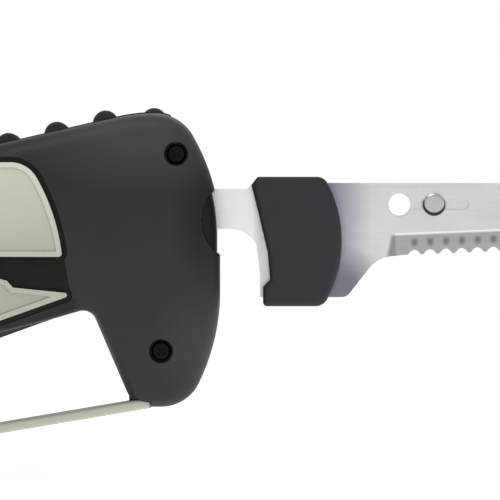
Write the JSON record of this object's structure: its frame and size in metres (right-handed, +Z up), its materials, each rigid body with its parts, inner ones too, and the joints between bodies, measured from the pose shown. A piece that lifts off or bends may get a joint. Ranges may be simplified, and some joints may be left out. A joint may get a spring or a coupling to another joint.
{
  "type": "electric fillet knife",
  "caption": "Electric fillet knife: charcoal pistol-shaped handle with pale side panels, knuckle bow, thumb ribs and trigger, holding paired reciprocating serrated blades with dark collars.",
  "frame": {"origin": "on the blades' axis, midway between the blades, in the middle of the head's mouth that the tangs enter", "axes": "+X along the blades to their tip, +Z up to the blades' spine, +Y to the knife's left"},
  "size_m": [0.4273, 0.0514, 0.1099],
  "materials": {
    "charcoal_plastic": "fine texture",
    "sage_plastic": "satin",
    "rim_plastic": "gloss",
    "bow_plastic": "satin",
    "black_rubber": "matt",
    "charcoal_rubber": "matt",
    "black_plastic": "satin",
    "blade_steel": "ground and brushed",
    "screw_steel": "black zinc",
    "bright_steel": "turned",
    "spring_steel": "drawn wire",
    "galvanised_steel": "galvanised sheet",
    "white_acetal": "moulded",
    "grey_nylon": "moulded",
    "ferrite": "sintered",
    "bronze": "sintered",
    "laminations": "stamped",
    "copper": "enamelled wire",
    "carbon": "pressed",
    "brass_metal": "tinned",
    "board_laminate": "coated",
    "film_yellow": "moulded",
    "lead_insulation": "extruded"
  },
  "bodies": {
    "handle": {"housing_right": "charcoal_plastic", "housing_left": "charcoal_plastic", "side_panel_right": "sage_plastic", "side_panel_left": "sage_plastic", "panel_rim_right": "rim_plastic", "panel_rim_left": "rim_plastic", "grip_inlay_right": "black_rubber", "grip_inlay_left": "black_rubber", "thumb_grip": "charcoal_rubber", "nose_bezel": "black_plastic", "knuckle_bow": "bow_plastic", "bow_screw": "screw_steel", "housing_screws": "screw_steel", "inlet_socket": "black_plastic", "inlet_pins": "bright_steel", "wheel_axle": "bright_steel", "drive_frame_right": "grey_nylon", "drive_frame_left": "grey_nylon", "front_bearing": "bronze", "motor_can": "galvanised_steel", "motor_front_bush": "bronze", "motor_rear_bush": "bronze", "motor_end_cap": "black_plastic", "motor_magnets": "ferrite", "carbon_brushes": "carbon", "trigger_pin": "bright_steel", "trigger_spring": "spring_steel", "switch_body": "black_plastic", "switch_terminals": "brass_metal", "release_spring": "spring_steel", "control_board": "board_laminate", "filter_capacitor": "film_yellow", "bridge_rectifier": "black_plastic", "choke_coil": "copper", "switch_leads": "lead_insulation", "inlet_leads": "lead_insulation"},
    "rotor": {"motor_shaft": "bright_steel", "armature_core": "laminations", "armature_windings": "copper", "commutator": "copper", "cooling_fan": "white_acetal", "drive_worm": "brass_metal"},
    "crank": {"crank_wheel": "white_acetal", "crank_pins": "bright_steel"},
    "right_carrier": {"blade_carrier_right": "white_acetal"},
    "left_carrier": {"blade_carrier_left": "white_acetal"},
    "right_latch": {"tang_latch_right": "spring_steel"},
    "left_latch": {"tang_latch_left": "spring_steel"},
    "right_blade": {"blade_right": "blade_steel", "blade_collar_right": "black_plastic"},
    "left_blade": {"blade_left": "blade_steel", "blade_collar_left": "black_plastic", "blade_rivet": "bright_steel"},
    "trigger": {"trigger_paddle": "black_plastic"},
    "plunger": {"switch_plunger": "white_acetal"},
    "lock": {"lock_bolt": "black_plastic"},
    "button": {"release_button": "black_plastic", "release_fork": "white_acetal"}
  },
  "joints": [
    {"name": "motor_spin", "type": "hinge", "parent": "handle", "child": "rotor", "pos_m": [-0.1, 0, -0.0155], "axis": [1, 0, 0], "range_deg": [-1200, 1200]},
    {"name": "crank_turn", "type": "hinge", "parent": "handle", "child": "crank", "pos_m": [-0.06, 0, 0], "axis": [0, 1, 0], "range_deg": [-60, 60]},
    {"name": "right_stroke", "type": "slide", "parent": "handle", "child": "right_carrier", "axis": [1, 0, 0], "range_m": [-0.0032, 0.0032]},
    {"name": "left_stroke", "type": "slide", "parent": "handle", "child": "left_carrier", "axis": [1, 0, 0], "range_m": [-0.0032, 0.0032]},
    {"name": "right_blade_pull", "type": "slide", "parent": "right_carrier", "child": "right_blade", "axis": [1, 0, 0], "range_m": [0, 0.06]},
    {"name": "left_blade_pull", "type": "slide", "parent": "left_carrier", "child": "left_blade", "axis": [1, 0, 0], "range_m": [0, 0.06]},
    {"name": "trigger_squeeze", "type": "hinge", "parent": "handle", "child": "trigger", "pos_m": [-0.0465, 0, -0.0266], "axis": [0, 1, 0], "range_deg": [0, 4.2], "stiffness_Nm_per_rad": 1.5, "springref_deg": -5.73, "deforming": ["trigger_spring"]},
    {"name": "switch_press", "type": "slide", "parent": "handle", "child": "plunger", "axis": [0, 0, 1], "range_m": [0, 0.0018]},
    {"name": "lock_push", "type": "slide", "parent": "handle", "child": "lock", "axis": [0, 1, 0], "range_m": [0, 0.004]},
    {"name": "release_press", "type": "slide", "parent": "handle", "child": "button", "axis": [0, 0, -1], "range_m": [0, 0.0025], "stiffness_N_per_m": 900, "springref_m": -0.002, "deforming": ["release_spring"]},
    {"name": "right_latch_dip", "type": "hinge", "parent": "right_carrier", "child": "right_latch", "pos_m": [-0.041, -0.00672, 0], "axis": [0, 0, -1], "range_deg": [0, 4.05]},
    {"name": "left_latch_dip", "type": "hinge", "parent": "left_carrier", "child": "left_latch", "pos_m": [-0.041, 0.00672, 0], "axis": [0, 0, 1], "range_deg": [0, 4.05]}
  ],
  "couplings": [
    {"joint": "crank_turn", "follows": "motor_spin", "ratio": 0.05},
    {"joint": "right_stroke", "follows": "motor_spin", "m_per_rad": 0.00015225},
    {"joint": "left_stroke", "follows": "motor_spin", "m_per_rad": -0.00015225},
    {"joint": "left_blade_pull", "follows": "right_blade_pull", "ratio": 1},
    {"joint": "switch_press", "follows": "trigger_squeeze", "m_per_rad": 0.0235},
    {"joint": "right_latch_dip", "follows": "release_press", "rad_per_m": 27.925},
    {"joint": "left_latch_dip", "follows": "release_press", "rad_per_m": 27.925}
  ]
}
